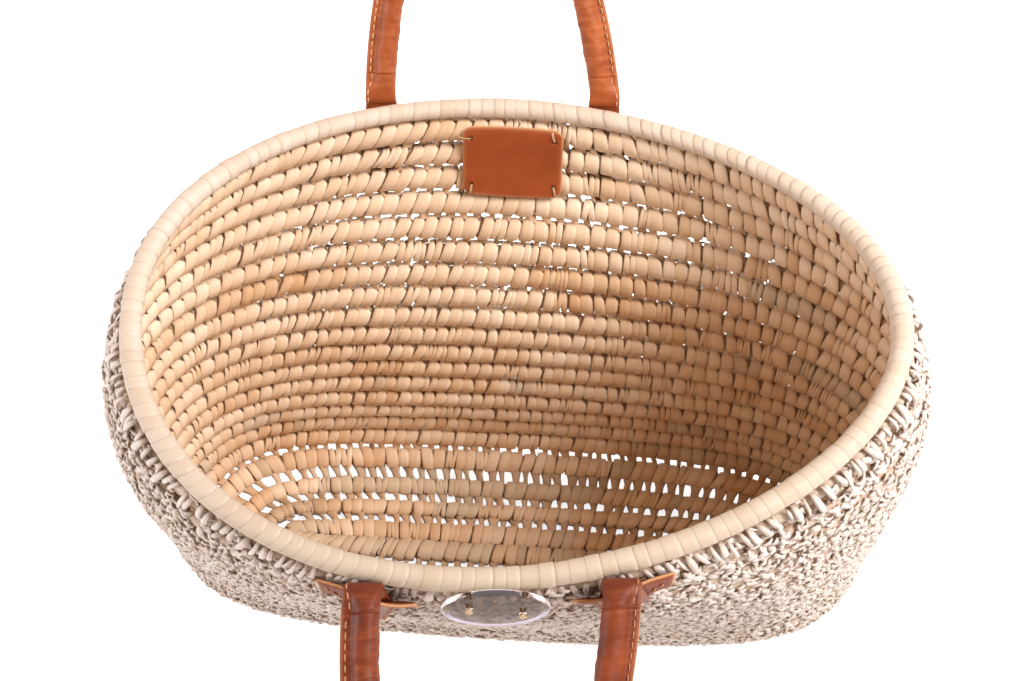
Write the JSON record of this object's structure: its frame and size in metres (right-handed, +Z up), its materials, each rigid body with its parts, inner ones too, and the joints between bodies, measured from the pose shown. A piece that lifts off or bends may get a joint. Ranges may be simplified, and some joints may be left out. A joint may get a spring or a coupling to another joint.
{
  "type": "straw basket",
  "caption": "Oval market basket of coiled palm leaf with rolled leather handles, a bare leather label inside and a clear round disc on the front.",
  "frame": {"origin": "on the floor, under the middle of the basket and its handles as they lie in the picture", "axes": "+X along the basket's long side to the right as seen from its front, -Y towards its front, +Z up"},
  "size_m": [0.497, 0.5722, 0.4558],
  "materials": {
    "palm_leaf": "matte",
    "rim_palm_leaf": "satin",
    "handle_leather": "satin",
    "label_leather": "matte",
    "core_rope": "matte",
    "seam_thread": "matte",
    "raffia": "matte",
    "clear_acrylic": "gloss"
  },
  "bodies": {
    "basket": {"base_coil": "palm_leaf", "wall_coil": "palm_leaf", "rim_hoop": "rim_palm_leaf", "back_left_patch": "handle_leather", "back_left_patch_thread": "seam_thread", "back_right_patch": "handle_leather", "back_right_patch_thread": "seam_thread", "front_left_patch": "handle_leather", "front_left_patch_thread": "seam_thread", "front_right_patch": "handle_leather", "front_right_patch_thread": "seam_thread", "leather_label": "label_leather", "label_tie_top_left": "raffia", "label_tie_top_right": "raffia", "label_tie_bottom_left": "raffia", "label_tie_bottom_right": "raffia", "clear_disc": "clear_acrylic", "disc_tie_left": "raffia", "disc_tie_right": "raffia"},
    "back_handle": {"back_handle_leather": "handle_leather", "back_handle_core": "core_rope", "back_handle_seam_thread": "seam_thread"},
    "front_handle": {"front_handle_leather": "handle_leather", "front_handle_core": "core_rope", "front_handle_seam_thread": "seam_thread"}
  },
  "joints": [
    {"name": "back_handle_hinge", "type": "hinge", "parent": "basket", "child": "back_handle", "pos_m": [-0.02398, 0.1867, 0.3247], "axis": [-0.9992, -0.0391, 0], "range_deg": [-82, 113]},
    {"name": "front_handle_hinge", "type": "hinge", "parent": "basket", "child": "front_handle", "pos_m": [-0.00048, -0.13829, 0.32425], "axis": [0.9966, 0.0819, 0], "range_deg": [-160, 35]}
  ]
}
